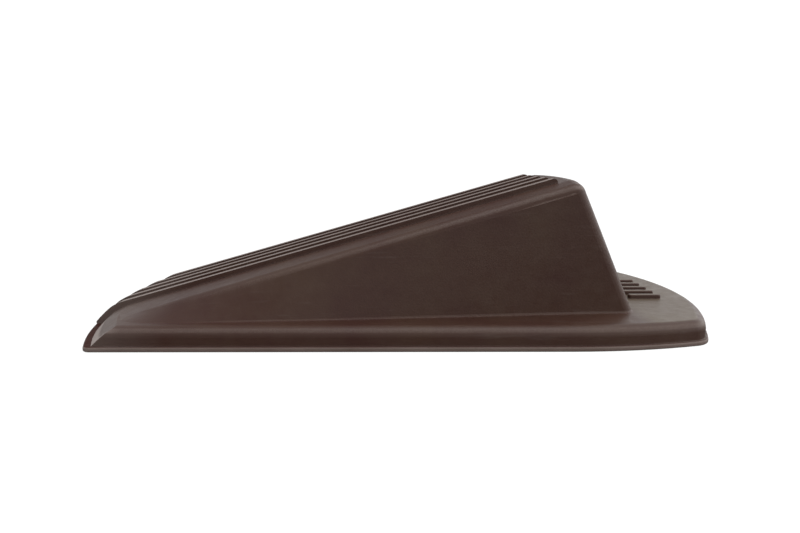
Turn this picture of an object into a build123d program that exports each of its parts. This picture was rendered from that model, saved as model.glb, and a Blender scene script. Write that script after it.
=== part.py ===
from build123d import *

import os
from math import cos, radians, sin, sqrt, tan

# A rubber door stop: a wedge on a flat platform, with a bonded sole under it, five grip ribs
# up its ramp and a patch of short raised bars on its heel pad. All sizes are in millimetres.
# +X runs from the thin nose to the heel, +Z is up, and the stop is symmetric about y = 0.
# The origin is the centre of the stop's footprint, on the floor.

# overall footprint
LENGTH = 120.65
WIDTH = 57.15

# plan outline, which is the sole's edge
NOSE_RADIUS = 65.0           # the nose edge
HEEL_RADIUS = 52.0           # the heel edge
FLARE_RADIUS = 84.0          # the sides bend in towards the heel on this radius
FLARE_START = 29.5           # where that bend begins
HEEL_CORNER = 4.5
NOSE_CORNER = 1.6

# sole
SOLE_HEIGHT = 0.95
SOLE_TOP_EDGE = 0.42
SOLE_FLOOR_EDGE = 0.3
GROOVE_WIDTH = 2.0           # anti-slip grooves across its underside
GROOVE_DEPTH = 0.4
GROOVE_PITCH = 6.0
GROOVE_LENGTH = 40.0
GROOVE_PAIRS = 8

# platform
RIM = 0.55                   # how far the sole stands proud of it
PLATFORM_TOP = 4.22
PLATFORM_EDGE = 1.8

# ramp: the plane z = RAMP_MID + x * tan(RAMP_ANGLE)
RAMP_ANGLE = 15.87
RAMP_MID = 19.455

# nose: the ramp rolls over onto an arc that comes down to the sole
NOSE_ARC = 26.85
NOSE_ARC_IN = 21.0           # from the sole's nose edge back to the arc's centre
NOSE_ARC_DEPTH = 17.3        # how far below the floor that centre is
NOSE_STEEP = 26.0            # slope of the cone that leads from the ramp into the arc
NOSE_BLEND = 7.0             # the bend from the ramp to the nose
NOSE_TRIM = -50.0            # in front of this the platform isn't higher than the ramp

# wedge: half widths of the flat of the ramp, of the shoulder and of the foot
RAMP_HALF = 15.0
MARGIN_ANGLE = 8.0           # the margins beside the flat fall away at this angle
MARGIN_BEND = 8.0            # on a soft bend of this radius
SHOULDER_HALF_NOSE = 21.2
SHOULDER_HALF_HEEL = 19.4
FOOT_HALF_MID = 22.5
FOOT_TAPER = 0.0844          # the foot narrows by this much per millimetre towards the heel
FOOT_SINK = 0.5              # the wedge reaches this far into the platform
FOOT_COVE = 0.5              # where its walls meet the platform's top
EDGE_ROUND = 1.8             # on the shoulders and round the rear wall
WALL_REACH = 1.2             # the side walls are drawn this many times as tall as they end up
WALL_NOSE = -50.0            # where the side walls are as flat as the margins
WALL_HEEL = 46.0
TIP_RUN = 7.0                # the wedge runs on below the platform's top for this far

# rear wall of the wedge
REAR_LEAN = 24.2
REAR_FOOT = 44.05            # at y = 0 and the platform's top
REAR_BOW = 170.0

# grip ribs
RIB_COUNT = 5
RIB_PITCH = 6.45
RIB_WIDTH = 2.2
RIB_HEIGHT = 0.94
RIB_SEAT = 0.5               # how deep each rib sits in its groove
RIB_END = 29.2
RIB_END_ROUND = 0.7
RIB_TOE_ROUND = 0.25

# raised bars on the heel pad
BAR_COUNT = 5
BAR_PITCH = 3.6
BAR_LENGTH = 6.6
BAR_WIDTH = 1.3
BAR_RAISED = 0.8
BAR_SEAT = 0.4
BAR_TOP_EDGE = 0.3
BAR_X = 49.6

HALF_LENGTH = LENGTH / 2
HALF_WIDTH = WIDTH / 2
CLEAR = 60.0                 # reaches past the whole stop
NOSE_CENTRE = NOSE_RADIUS - HALF_LENGTH
HEEL_CENTRE = HALF_LENGTH - HEEL_RADIUS
RAMP_SLOPE = tan(radians(RAMP_ANGLE))


def ramp_z(x):
    return RAMP_MID + x * RAMP_SLOPE


def sagitta(radius, y):
    """How far an arc of this radius has dropped at distance y from its crown."""
    return radius - sqrt(radius ** 2 - y ** 2)


def heel_corner_point(inset):
    """Where the flared side meets the heel arc, both moved in by inset."""
    r_heel = HEEL_RADIUS - inset
    r_side = FLARE_RADIUS - inset
    dx = FLARE_START - HEEL_CENTRE
    dy = HALF_WIDTH - FLARE_RADIUS
    gap = sqrt(dx ** 2 + dy ** 2)
    along = (gap ** 2 + r_heel ** 2 - r_side ** 2) / (2 * gap)
    across = sqrt(r_heel ** 2 - along ** 2)
    return (HEEL_CENTRE + (along * dx - across * dy) / gap, (along * dy + across * dx) / gap)


def footprint(inset):
    """The plan outline as a face, moved in by inset from the sole's edge."""
    half = HALF_WIDTH - inset
    nose_x = NOSE_CENTRE - sqrt((NOSE_RADIUS - inset) ** 2 - half ** 2)
    corner_x, corner_y = heel_corner_point(inset)
    flare = FLARE_RADIUS - inset
    edges = [
        ThreePointArc((nose_x, half), (inset - HALF_LENGTH, 0), (nose_x, -half)),
        Line((nose_x, -half), (FLARE_START, -half)),
        RadiusArc((FLARE_START, -half), (corner_x, -corner_y), -flare),
        ThreePointArc((corner_x, -corner_y), (HALF_LENGTH - inset, 0), (corner_x, corner_y)),
        RadiusArc((corner_x, corner_y), (FLARE_START, half), -flare),
        Line((FLARE_START, half), (nose_x, half)),
    ]
    face = make_face(edges)
    face = fillet(face.vertices().sort_by(Axis.X)[-2:], HEEL_CORNER - inset)
    return fillet(face.vertices().sort_by(Axis.X)[:2], NOSE_CORNER - inset)


def platform():
    base = Pos(0, 0, SOLE_HEIGHT) * extrude(footprint(RIM), amount=PLATFORM_TOP - SOLE_HEIGHT)
    return fillet(base.faces().sort_by(Axis.Z)[-1].edges(), PLATFORM_EDGE)


def ramp_prism():
    """Everything under the ramp's surface: its flat and the two margins."""
    drop = (HALF_WIDTH - RAMP_HALF) * tan(radians(MARGIN_ANGLE))
    half = [(HALF_WIDTH, -LENGTH), (HALF_WIDTH, -drop), (RAMP_HALF, 0)]
    face = make_face(Polyline(*half, *[(-y, z) for y, z in reversed(half)], close=True))
    face = fillet(face.vertices().sort_by(Axis.Y)[-2:], MARGIN_BEND)
    angle = radians(RAMP_ANGLE)
    across = Plane(origin=(0, 0, RAMP_MID), x_dir=(0, 1, 0), z_dir=(cos(angle), 0, sin(angle)))
    return extrude(across * face, amount=LENGTH, both=True)


def wall_section(x, shoulder_half):
    """A slice of the space between the side walls, as a face across X at this place."""
    foot_half = FOOT_HALF_MID - FOOT_TAPER * x
    foot_z = PLATFORM_TOP - FOOT_SINK
    shoulder_z = ramp_z(x) - (shoulder_half - RAMP_HALF) * tan(radians(MARGIN_ANGLE))
    top_half = foot_half + WALL_REACH * (shoulder_half - foot_half)
    top_z = foot_z + WALL_REACH * (shoulder_z - foot_z)
    half = [(foot_half, foot_z), (top_half, top_z), (top_half, CLEAR)]
    outline = Polyline(*half, *[(-y, z) for y, z in reversed(half)], close=True)
    across = Plane(origin=(x, 0, 0), x_dir=(0, 1, 0), z_dir=(1, 0, 0))
    return across * make_face(outline)


def between_walls():
    """The space between the side walls, which twist from almost flat at the nose to upright."""
    nose = wall_section(WALL_NOSE, SHOULDER_HALF_NOSE)
    heel = wall_section(WALL_HEEL, SHOULDER_HALF_HEEL)
    return loft([nose, heel], ruled=True)


def rear_block():
    """Everything in front of the bowed, leaning rear wall."""
    back = REAR_FOOT - sagitta(REAR_BOW, HALF_WIDTH)
    front = -LENGTH
    plan = make_face([
        ThreePointArc((back, -HALF_WIDTH), (REAR_FOOT, 0), (back, HALF_WIDTH)),
        Polyline((back, HALF_WIDTH), (front, HALF_WIDTH), (front, -HALF_WIDTH), (back, -HALF_WIDTH)),
    ])
    lean = tan(radians(REAR_LEAN))
    up = Vector(-lean, 0, 1)
    return extrude(Pos(lean * PLATFORM_TOP, 0, 0) * plan, amount=CLEAR * up.length, dir=up)


def wedge():
    """The wedge with rounded shoulders and rear edges, and its low tip run on to the nose."""
    sharp = between_walls() & ramp_prism() & rear_block()

    def is_shoulder(edge):
        middle = edge @ 0.5
        return edge.length > HALF_LENGTH and abs(middle.Y) > RAMP_HALF + EDGE_ROUND and middle.Z > 2 * PLATFORM_TOP

    rear_edges = [e for e in sharp.faces().sort_by(Axis.X)[-1].edges() if (e @ 0.5).Z > PLATFORM_TOP]
    shoulders = [e for e in sharp.edges() if is_shoulder(e)]
    nose = wall_section(WALL_NOSE, SHOULDER_HALF_NOSE)
    tip = extrude(nose, amount=TIP_RUN, dir=Vector(-1, 0, -RAMP_SLOPE))
    return fillet(rear_edges + shoulders, EDGE_ROUND) + (tip & ramp_prism())


def nose_arc(height):
    """The nose arc moved out by height, as (radius, distance of its centre from the nose axis)."""
    return NOSE_ARC + height, NOSE_RADIUS - NOSE_ARC_IN


def nose_foot(height):
    """Distance from the nose axis to where the moved-out nose arc meets the sole."""
    radius, centre = nose_arc(height)
    return centre + sqrt(radius ** 2 - (SOLE_HEIGHT + NOSE_ARC_DEPTH) ** 2)


def ramp_meets_nose(height, shift):
    """Where the ramp and the nose arc, both moved out by height, cross in a rib's side view."""
    radius, centre = nose_arc(height)
    centre_x = NOSE_CENTRE - centre + shift
    level = RAMP_MID + height / cos(radians(RAMP_ANGLE)) + NOSE_ARC_DEPTH
    a = 1 + RAMP_SLOPE ** 2
    b = RAMP_SLOPE * level - centre_x
    c = centre_x ** 2 + level ** 2 - radius ** 2
    x = (-b - sqrt(b ** 2 - a * c)) / a
    return (x, x * RAMP_SLOPE + level - NOSE_ARC_DEPTH)


def nearest_corner(face, point):
    return face.vertices().sort_by_distance((point[0], point[1], 0))[0]


def nose_cut():
    """What lies in front of the rolled nose, turned about the nose edge's own centre."""
    bend_x, bend_z = ramp_meets_nose(0, 0)
    bend = (NOSE_CENTRE - bend_x, bend_z)
    crown = (0, bend_z + bend[0] * tan(radians(NOSE_STEEP)))
    foot = (nose_foot(0), SOLE_HEIGHT)
    far = 2 * NOSE_RADIUS
    half_plane = make_face([
        Line(crown, bend),
        RadiusArc(bend, foot, NOSE_ARC),
        Polyline(foot, (far, SOLE_HEIGHT), (far, CLEAR), (0, CLEAR), crown),
    ])
    half_plane = fillet(nearest_corner(half_plane, bend), NOSE_BLEND)
    ring = revolve(Plane.XZ * half_plane, axis=Axis.Z)
    front_half = Pos(-far, 0, CLEAR) * Box(2 * far, 2 * far, 2 * CLEAR)
    return Pos(NOSE_CENTRE, 0, 0) * (ring & front_half)


def ramp_cut():
    """What lies above the ramp's plane near the nose, where it runs out below the platform's top."""
    far = -LENGTH
    side = make_face(Polyline(
        (NOSE_TRIM, ramp_z(NOSE_TRIM)), (far, ramp_z(far)), (far, CLEAR), (NOSE_TRIM, CLEAR), close=True
    ))
    return extrude(Plane.XZ * side, amount=CLEAR, both=True)


def rib(y):
    """One grip rib, from its square end near the landing down over the nose to the sole."""
    shift = sagitta(NOSE_RADIUS, y)
    end_rise = RIB_END * RAMP_SLOPE + RAMP_MID
    grow = cos(radians(RAMP_ANGLE))
    top_end = (RIB_END, end_rise + RIB_HEIGHT / grow)
    seat_end = (RIB_END, end_rise - RIB_SEAT / grow)
    top_bend = ramp_meets_nose(RIB_HEIGHT, shift)
    seat_bend = ramp_meets_nose(-RIB_SEAT, shift)
    radius, centre = nose_arc(RIB_HEIGHT)
    toe = NOSE_RADIUS - SOLE_TOP_EDGE
    toe_x = NOSE_CENTRE + shift - toe
    toe_top = (toe_x, sqrt(radius ** 2 - (toe - centre) ** 2) - NOSE_ARC_DEPTH)
    seat_foot = (NOSE_CENTRE + shift - nose_foot(-RIB_SEAT), SOLE_HEIGHT)
    side = make_face([
        Line(top_end, top_bend),
        RadiusArc(top_bend, toe_top, -radius),
        Polyline(toe_top, (toe_x, SOLE_HEIGHT), seat_foot),
        RadiusArc(seat_foot, seat_bend, NOSE_ARC - RIB_SEAT),
        Line(seat_bend, seat_end),
        Line(seat_end, top_end),
    ])
    side = fillet(nearest_corner(side, top_bend), NOSE_BLEND)
    side = fillet(nearest_corner(side, seat_bend), NOSE_BLEND)
    side = fillet(nearest_corner(side, top_end), RIB_END_ROUND)
    side = fillet(nearest_corner(side, toe_top), RIB_TOE_ROUND)
    upright = Plane(origin=(0, y + RIB_WIDTH / 2, 0), x_dir=(1, 0, 0), z_dir=(0, -1, 0))
    return extrude(upright * side, amount=RIB_WIDTH)


def ribs():
    """The ribs from -Y to +Y."""
    first = -(RIB_COUNT - 1) / 2 * RIB_PITCH
    return [rib(first + i * RIB_PITCH) for i in range(RIB_COUNT)]


def heel_bars():
    """Short round-ended bars along X, raised from the heel pad and seated in it."""
    first = -(BAR_COUNT - 1) / 2 * BAR_PITCH
    bar = extrude(SlotOverall(BAR_LENGTH, BAR_WIDTH), amount=BAR_SEAT + BAR_RAISED)
    bar = fillet(bar.faces().sort_by(Axis.Z)[-1].edges(), BAR_TOP_EDGE)
    base_z = PLATFORM_TOP - BAR_SEAT
    return [Pos(BAR_X, first + i * BAR_PITCH, base_z) * bar for i in range(BAR_COUNT)]


def sole():
    """The bottom layer, whose rim is the proud bead at the floor, grooved underneath."""
    slab = extrude(footprint(0), amount=SOLE_HEIGHT)
    slab = fillet(slab.faces().sort_by(Axis.Z)[-1].edges(), SOLE_TOP_EDGE)
    slab = fillet(slab.faces().sort_by(Axis.Z)[0].edges(), SOLE_FLOOR_EDGE)
    groove = Box(GROOVE_WIDTH, GROOVE_LENGTH, 2 * GROOVE_DEPTH)
    for i in range(GROOVE_PAIRS):
        x = (i + 0.5) * GROOVE_PITCH
        slab = slab - Pos(x, 0, 0) * groove - Pos(-x, 0, 0) * groove
    return slab


def coved(moulding):
    """The moulding with a small cove along the foot of the side walls and the rear wall."""
    def is_foot(edge):
        middle = edge @ 0.5
        in_length = WALL_NOSE + EDGE_ROUND < middle.X < REAR_FOOT + EDGE_ROUND
        return in_length and abs(middle.Y) < FOOT_HALF_MID + EDGE_ROUND

    top = moulding.faces().filter_by(Axis.Z).filter_by_position(
        Axis.Z, PLATFORM_TOP - FOOT_COVE, PLATFORM_TOP + FOOT_COVE
    )
    return fillet([edge for edge in top.edges() if is_foot(edge)], FOOT_COVE)


def body(tread, bars):
    """The wedge and platform in one moulding, with a seat for each rib and bar."""
    moulding = coved(platform() - ramp_cut() + wedge() - nose_cut())
    for piece in tread + bars:
        moulding = moulding - piece
    return moulding


def write(name, shape):
    export_step(shape, f"parts/{name}.step")


os.makedirs("parts", exist_ok=True)
tread = ribs()
bars = heel_bars()
write("wedge_body", body(tread, bars))
write("sole", sole())
for number, piece in enumerate(tread, start=1):
    write(f"tread_rib_{number}", piece)
write("heel_grip_bars", Compound(children=bars))
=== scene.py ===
from math import radians

import bpy
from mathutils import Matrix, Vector

# A rubber door stop on a white studio floor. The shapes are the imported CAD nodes, and this
# script gives them their rubber and sets the floor, the light and the camera.
# Everything is in metres, in the CAD's frame: +X to the heel, +Z up, the floor at z = 0.

MM = 0.001

# camera: low in front of the stop's long side, looking slightly down
CAMERA_PLACE = (0.0, -0.12352, 0.03261)
CAMERA_PITCH = -10.625
CAMERA_ROLL = -0.07
SENSOR_WIDTH = 36.0
LENS = 26.437
NEAREST_SEEN = 0.005

# how bright the studio's air looks to the stop, towards each side
AIR_HEEL_SIDE = 2.3
AIR_NOSE_SIDE = 1.2
AIR_BEHIND = 0.16
AIR_ALL_ROUND = 0.05
AIR_SEEN = 2.0               # and to the camera, so that it is plain white

# floor
FLOOR_SIZE = 12
FLOOR_PATCHES = 0.25         # across its faint darker patches
FLOOR_BOUNCE = 0.16          # the floor's reflection on the stop
FLOOR_GLOW = 0.92            # what makes the floor look white to the camera

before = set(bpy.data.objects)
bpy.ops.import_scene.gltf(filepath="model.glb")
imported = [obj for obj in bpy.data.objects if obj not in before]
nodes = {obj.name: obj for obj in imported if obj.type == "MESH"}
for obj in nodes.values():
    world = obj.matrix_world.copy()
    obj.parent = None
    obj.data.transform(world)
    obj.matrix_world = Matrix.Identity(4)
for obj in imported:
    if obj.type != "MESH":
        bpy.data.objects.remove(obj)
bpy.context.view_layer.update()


class Tree:
    """A short way to add and join a material's nodes."""

    def __init__(self, owner):
        owner.use_nodes = True
        self.nodes = owner.node_tree.nodes
        self.links = owner.node_tree.links
        self.nodes.clear()

    def add(self, kind, **settings):
        node = self.nodes.new(kind)
        for key, value in settings.items():
            setattr(node, key, value)
        return node

    def feed(self, node, name, value):
        """Joins another node's output to this input, or sets it to a value."""
        socket = node.inputs[name]
        if isinstance(value, bpy.types.NodeSocket):
            self.links.new(value, socket)
        else:
            socket.default_value = value

    def math(self, operation, a, b, clamp=False):
        node = self.add("ShaderNodeMath", operation=operation, use_clamp=clamp)
        self.feed(node, 0, a)
        self.feed(node, 1, b)
        return node.outputs[0]

    def stretched(self, scale):
        """Object coordinates, squeezed by scale along each axis."""
        place = self.add("ShaderNodeTexCoord")
        mapping = self.add("ShaderNodeMapping")
        self.feed(mapping, "Vector", place.outputs["Object"])
        self.feed(mapping, "Scale", scale)
        return mapping.outputs["Vector"]

    def noise(self, size, detail, scale=(1, 1, 1), roughness=0.5):
        """Noise whose blobs are about this many metres across, from 0 to 1."""
        node = self.add("ShaderNodeTexNoise")
        self.feed(node, "Vector", self.stretched(scale))
        self.feed(node, "Scale", 1 / size)
        self.feed(node, "Detail", detail)
        self.feed(node, "Roughness", roughness)
        return node.outputs["Fac"]

    def spread(self, value, low, high, to_low=0.0, to_high=1.0):
        """Value mapped from low..high to to_low..to_high, and held at the ends."""
        node = self.add("ShaderNodeMapRange")
        self.feed(node, "Value", value)
        self.feed(node, "From Min", low)
        self.feed(node, "From Max", high)
        self.feed(node, "To Min", to_low)
        self.feed(node, "To Max", to_high)
        return node.outputs["Result"]

    def mix(self, amount, a, b):
        node = self.add("ShaderNodeMix", data_type="RGBA")
        self.feed(node, 0, amount)
        self.feed(node, 6, a)
        self.feed(node, 7, b)
        return node.outputs[2]

    def bump(self, height, distance, under=None):
        node = self.add("ShaderNodeBump")
        self.feed(node, "Height", height)
        self.feed(node, "Distance", distance)
        if under is not None:
            self.feed(node, "Normal", under)
        return node.outputs["Normal"]

    def along(self, start, end, most=1.0):
        """From 0 at one place along the stop to most at another."""
        place = self.add("ShaderNodeTexCoord")
        split = self.add("ShaderNodeSeparateXYZ")
        self.feed(split, "Vector", place.outputs["Object"])
        return self.spread(split.outputs["X"], start, end, 0, most)

    def facing(self, axis, low, high):
        """From 0 to 1 as the part of the surface's direction along this axis goes from low to high."""
        surface = self.add("ShaderNodeNewGeometry")
        split = self.add("ShaderNodeSeparateXYZ")
        self.feed(split, "Vector", surface.outputs["Normal"])
        return self.spread(split.outputs[axis], low, high)

    def slanting(self):
        """1 on roundings that look half upwards, 0 on what is flat or upright."""
        return self.math("SUBTRACT", self.facing("Z", 0.35, 0.5), self.facing("Z", 0.72, 0.88), clamp=True)

    def near_surface(self, distance, inside):
        """How much of the piece is close by: on its edges if inside, in its corners if not."""
        shade = self.add("ShaderNodeAmbientOcclusion", inside=inside, samples=8)
        self.feed(shade, "Distance", distance)
        return self.math("SUBTRACT", 1.0, shade.outputs["AO"], clamp=True)


# colours: two browns that the rubber wanders between, a pale for bloom and painted sheen, a painted
# highlight, a painted reflection for the heel pad, and the sole's rim
DARK_BROWN = (0.046, 0.0165, 0.0122, 1)
LIGHT_BROWN = (0.058, 0.0275, 0.0165, 1)
BLOOM_AND_PAINTED_SHEEN = (0.21, 0.175, 0.16, 1)
PAINTED_HIGHLIGHT = (0.42, 0.35, 0.32, 1)
HEEL_PAINTED_SHEEN = (0.25, 0.225, 0.155, 1)
RIM_DARK = (0.115, 0.078, 0.064, 1)
RIM_LIGHT = (0.17, 0.125, 0.108, 1)

# large soft patches of colour, and a small mottle within them
CLOUD_SIZE = 14 * MM
MOTTLE_SIZE = 2.2 * MM
MOTTLE_BROWN = 0.25          # how far the mottle goes towards the light brown
MOTTLE_HAZE = 0.05           # and how pale with bloom it is

# rubbed streaks along the stop
STREAK_SIZE = 1.6 * MM
STREAK_STRETCH = (0.09, 1, 1)

# edges get a painted highlight this far in, and the corners a painted highlight this far out of them
EDGE_REACH = 1.6 * MM
CORNER_REACH = 0.5 * MM
CORNER_PAINTED_HIGHLIGHT = 0.22

# painted sheen makes the rubber paler towards the nose, and the sole's ledge there is kept dull and dark
# as a painted shadow
NOSE_PAINTED_SHEEN = 0.33
NOSE_SHEEN_FROM = -0.040
NOSE_SHEEN_TO = -0.056
LEDGE_FROM = -0.049
LEDGE_TO = -0.053

# a painted reflection makes the level heel pad, behind the wedge, paler and greyer
HEEL_SHEEN_STRENGTH = 0.24
HEEL_SHEEN_FROM = 0.042
HEEL_SHEEN_TO = 0.045

# how the surface shines, and how uneven it is
SHEEN = 0.3
# the nose ledge's low sheen is part of its painted shadow
SHADED_LEDGE_SHEEN = 0.03
SMOOTHER = 0.05              # the roughness wanders this far down
ROUGHER = 0.07               # and this far up
HAZE_ROUGHENS = 0.15
RIPPLE_SIZE = 5 * MM
RIPPLE_DEPTH = 0.06 * MM
GRAIN_SIZE = 0.35 * MM
GRAIN_DEPTH = 0.02 * MM


def bloom_and_painted_light(tree, clouds, mottle, streaks, scuffs, shaded_nose_ledge):
    """How pale each place is: bloom in the mottle and streaks, painted sheen at the nose, painted
    highlights in the corners; the shaded nose ledge loses the first two.
    """
    pale = tree.math("MULTIPLY", clouds, tree.math("MULTIPLY", mottle, MOTTLE_HAZE))
    # painted sheen: paler towards the nose, where the surfaces turn up to the sky
    pale = tree.math("ADD", pale, tree.along(NOSE_SHEEN_FROM, NOSE_SHEEN_TO, NOSE_PAINTED_SHEEN))
    # painted shadow: the nose ledge gets none of this paleness
    pale = tree.math("MULTIPLY", pale, tree.math("SUBTRACT", 1.0, shaded_nose_ledge))
    # painted highlight: paler just outside the corners, like the bright feet of the ribs and walls
    close_by = tree.near_surface(CORNER_REACH, inside=False)
    pale = tree.math("ADD", pale, tree.spread(close_by, 0.15, 0.6, 0, CORNER_PAINTED_HIGHLIGHT))
    return tree.math("ADD", pale, tree.spread(streaks, 0.58, 0.78, 0, scuffs), clamp=True)


def painted_highlights(tree, edge_highlight, top_highlight):
    """Painted highlight: how far each place is painted pale, near the edges of what slants and of what is
    on top.
    """
    edges = tree.spread(tree.near_surface(EDGE_REACH, inside=True), 0.03, 0.4)
    on_edges = tree.math("MULTIPLY", tree.slanting(), edge_highlight)
    on_tops = tree.math("MULTIPLY", tree.facing("Z", 0.8, 0.95), top_highlight)
    return tree.math("MULTIPLY", edges, tree.math("MAXIMUM", on_edges, on_tops))


def relief(tree, streaks):
    """The rubber's slight ripple, fine grain and scratches."""
    ripple = tree.bump(tree.noise(RIPPLE_SIZE, 3), RIPPLE_DEPTH)
    grain = tree.bump(tree.noise(GRAIN_SIZE, 4, roughness=0.6), GRAIN_DEPTH, under=ripple)
    return tree.bump(streaks, GRAIN_DEPTH, under=grain)


def rubber(name, dark, light, roughness, scuffs, edge_highlight, top_highlight, top=None):
    """Moulded brown rubber: mottled colour, pale bloom, painted sheen, highlights and shadow, rubbed
    streaks and a fine grain.

    scuffs says how strong the rubbed streaks are, the next two how strongly its roundings and its flat
    tops get a painted highlight, and top is the colour of what looks up, if it differs.
    """
    material = bpy.data.materials.new(name)
    tree = Tree(material)
    clouds = tree.spread(tree.noise(CLOUD_SIZE, 5, roughness=0.6), 0.3, 0.7)
    mottle = tree.spread(tree.noise(MOTTLE_SIZE, 6, roughness=0.65), 0.35, 0.7)
    streaks = tree.noise(STREAK_SIZE, 4, scale=STREAK_STRETCH, roughness=0.7)

    brown = tree.mix(clouds, dark, light)
    brown = tree.mix(tree.math("MULTIPLY", mottle, MOTTLE_BROWN), brown, light)
    shaded_nose_ledge = 0.0
    if top is not None:
        looks_up = tree.facing("Z", 0.55, 0.9)
        # painted shadow: the upward ledge in front of the nose is marked to stay dark and dull
        shaded_nose_ledge = tree.math("MULTIPLY", looks_up, tree.along(LEDGE_FROM, LEDGE_TO))
        brown = tree.mix(looks_up, brown, top)
    # painted reflection: the level heel pad is painted paler and greyer
    level = tree.facing("Z", 0.97, 0.995)
    heel_sheen_mask = tree.math("MULTIPLY", level, tree.along(HEEL_SHEEN_FROM, HEEL_SHEEN_TO))
    brown = tree.mix(tree.math("MULTIPLY", heel_sheen_mask, HEEL_SHEEN_STRENGTH), brown, HEEL_PAINTED_SHEEN)

    pale = bloom_and_painted_light(tree, clouds, mottle, streaks, scuffs, shaded_nose_ledge)
    bloomed_and_painted = tree.mix(pale, brown, BLOOM_AND_PAINTED_SHEEN)
    # painted highlight: half-upward roundings and flat tops are painted pale near their edges
    colour = tree.mix(painted_highlights(tree, edge_highlight, top_highlight), bloomed_and_painted, PAINTED_HIGHLIGHT)
    shine = tree.spread(mottle, 0, 1, roughness - SMOOTHER, roughness + ROUGHER)

    surface = tree.add("ShaderNodeBsdfPrincipled")
    tree.feed(surface, "Base Color", colour)
    tree.feed(surface, "Roughness", tree.math("ADD", shine, tree.math("MULTIPLY", pale, HAZE_ROUGHENS)))
    # painted shadow: the nose ledge barely shines
    tree.feed(surface, "Specular IOR Level", tree.spread(shaded_nose_ledge, 0, 1, SHEEN, SHADED_LEDGE_SHEEN))
    tree.feed(surface, "Normal", relief(tree, streaks))
    out = tree.add("ShaderNodeOutputMaterial")
    tree.feed(out, "Surface", surface.outputs["BSDF"])
    return material


def body_rubber():
    return rubber(
        "body_rubber", DARK_BROWN, LIGHT_BROWN, roughness=0.46, scuffs=0.14, edge_highlight=0.6, top_highlight=0.05
    )


def tread_rubber():
    return rubber(
        "tread_rubber", DARK_BROWN, LIGHT_BROWN, roughness=0.5, scuffs=0.2, edge_highlight=0.5, top_highlight=0.42
    )


def sole_rubber():
    return rubber(
        "sole_rubber", RIM_DARK, RIM_LIGHT, roughness=0.55, scuffs=0.3, edge_highlight=0, top_highlight=0,
        top=DARK_BROWN,
    )


def bar_rubber():
    return rubber(
        "bar_rubber", DARK_BROWN, LIGHT_BROWN, roughness=0.5, scuffs=0.12, edge_highlight=0, top_highlight=0.05
    )


def studio_floor():
    """A wide sheet that looks white, but throws little light back up at the stop."""
    bpy.ops.mesh.primitive_plane_add(size=FLOOR_SIZE)
    floor = bpy.context.object
    floor.name = "studio_floor"
    material = bpy.data.materials.new("studio_floor")
    tree = Tree(material)
    matt = tree.add("ShaderNodeBsdfDiffuse")
    shade = tree.spread(tree.noise(FLOOR_PATCHES, 3), 0.3, 0.7, 0.95 * FLOOR_BOUNCE, FLOOR_BOUNCE)
    tree.feed(matt, "Color", tree.mix(shade, (0, 0, 0, 1), (1, 1, 1, 1)))
    glow = tree.add("ShaderNodeEmission")
    ray = tree.add("ShaderNodeLightPath")
    tree.feed(glow, "Strength", tree.math("MULTIPLY", ray.outputs["Is Camera Ray"], FLOOR_GLOW))
    both = tree.add("ShaderNodeAddShader")
    tree.links.new(matt.outputs["BSDF"], both.inputs[0])
    tree.links.new(glow.outputs["Emission"], both.inputs[1])
    out = tree.add("ShaderNodeOutputMaterial")
    tree.feed(out, "Surface", both.outputs["Shader"])
    floor.data.materials.append(material)


def studio_air():
    """White air, bright past both ends of the stop and dim in front of it and behind it."""
    world = bpy.data.worlds.new("studio")
    bpy.context.scene.world = world
    tree = Tree(world)
    place = tree.add("ShaderNodeTexCoord")
    way = tree.add("ShaderNodeSeparateXYZ")
    tree.feed(way, "Vector", place.outputs["Generated"])
    light = AIR_ALL_ROUND
    for axis, side in (("X", AIR_HEEL_SIDE), ("X", -AIR_NOSE_SIDE), ("Y", AIR_BEHIND)):
        towards = tree.math("MAXIMUM", tree.math("MULTIPLY", way.outputs[axis], side), 0.0)
        light = tree.math("ADD", towards, light)
    ray = tree.add("ShaderNodeLightPath")
    seen = tree.math("MULTIPLY", ray.outputs["Is Camera Ray"], AIR_SEEN)
    back = tree.add("ShaderNodeBackground")
    tree.feed(back, "Color", (1, 1, 1, 1))
    tree.feed(back, "Strength", tree.math("MAXIMUM", light, seen))
    out = tree.add("ShaderNodeOutputWorld")
    tree.feed(out, "Surface", back.outputs["Background"])


def softbox(name, place, size, watts):
    """A soft rectangular light that faces the stop."""
    light = bpy.data.lights.new(name, "AREA")
    light.shape = "RECTANGLE"
    light.size, light.size_y = size
    light.energy = watts
    lamp = bpy.data.objects.new(name, light)
    lamp.location = place
    lamp.rotation_euler = Vector(place).to_track_quat("Z", "Y").to_euler()
    bpy.context.scene.collection.objects.link(lamp)


def camera():
    data = bpy.data.cameras.new("camera")
    data.sensor_width = SENSOR_WIDTH
    data.lens = LENS
    data.clip_start = NEAREST_SEEN
    eye = bpy.data.objects.new("camera", data)
    eye.location = CAMERA_PLACE
    eye.rotation_mode = "ZXY"
    eye.rotation_euler = (radians(90 + CAMERA_PITCH), 0, radians(CAMERA_ROLL))
    bpy.context.scene.collection.objects.link(eye)
    bpy.context.scene.camera = eye


def dress(node, material):
    mesh = nodes[node].data
    mesh.materials.clear()
    mesh.materials.append(material)


tread = tread_rubber()
dress("wedge_body", body_rubber())
dress("sole", sole_rubber())
dress("heel_grip_bars", bar_rubber())
for name in nodes:
    if name.startswith("tread_rib"):
        dress(name, tread)

studio_floor()
studio_air()
softbox("overhead", place=(0.1, -0.05, 1.0), size=(1.0, 0.7), watts=3.8)
softbox("window", place=(0.55, 1.0, 0.3), size=(0.7, 0.45), watts=0.3)
softbox("front_fill", place=(0.1, -1.2, 0.35), size=(1.2, 0.6), watts=1.8)
camera()
bpy.context.scene.view_settings.view_transform = "Standard"
